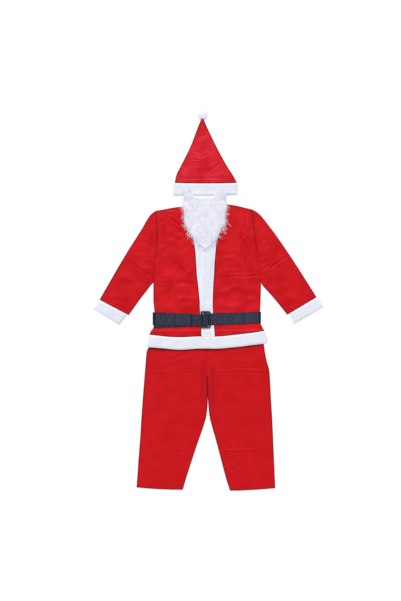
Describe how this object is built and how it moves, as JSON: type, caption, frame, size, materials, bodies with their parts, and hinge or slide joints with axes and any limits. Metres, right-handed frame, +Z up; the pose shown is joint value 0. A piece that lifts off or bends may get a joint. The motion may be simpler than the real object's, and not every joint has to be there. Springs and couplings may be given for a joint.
{
  "type": "santa suit",
  "caption": "Child's Santa suit laid out flat: pointed hat with pompom, curly beard, jacket with white bands and cuffs, webbing belt with buckle, and trousers.",
  "frame": {"origin": "on the floor, under the middle of the laid-out suit's bounding box", "axes": "+Z up from the floor, +Y towards the hat, +X towards the wearer's left side"},
  "size_m": [0.918, 1.509, 0.0233],
  "materials": {
    "red_cloth": "thin brushed knit, soft matt sheen",
    "white_trim": "white short-nap fleece, matt",
    "beard_fibre": "fine curly synthetic fibre",
    "belt_webbing": "ribbed woven webbing, slate, satin",
    "buckle_plastic": "moulded, semi-gloss black"
  },
  "bodies": {
    "root": {"hat_front": "red_cloth", "hat_back": "red_cloth", "jacket_back": "red_cloth", "jacket_front_left": "red_cloth", "jacket_front_right": "red_cloth", "sleeve_left": "red_cloth", "sleeve_right": "red_cloth", "trouser_front_left": "red_cloth", "trouser_front_right": "red_cloth", "trouser_back_left": "red_cloth", "trouser_back_right": "red_cloth", "waistband_front": "red_cloth", "waistband_back": "red_cloth", "hat_band": "white_trim", "front_band_left": "white_trim", "front_band_right": "white_trim", "hem_band_back": "white_trim", "hem_band_front_left": "white_trim", "hem_band_front_right": "white_trim", "cuff_left": "white_trim", "cuff_right": "white_trim", "pompom": "beard_fibre", "beard": "beard_fibre", "beard_fringe_left": "beard_fibre", "beard_fringe_right": "beard_fibre", "belt_strap": "belt_webbing", "belt_buckle": "buckle_plastic"}
  },
  "joints": []
}
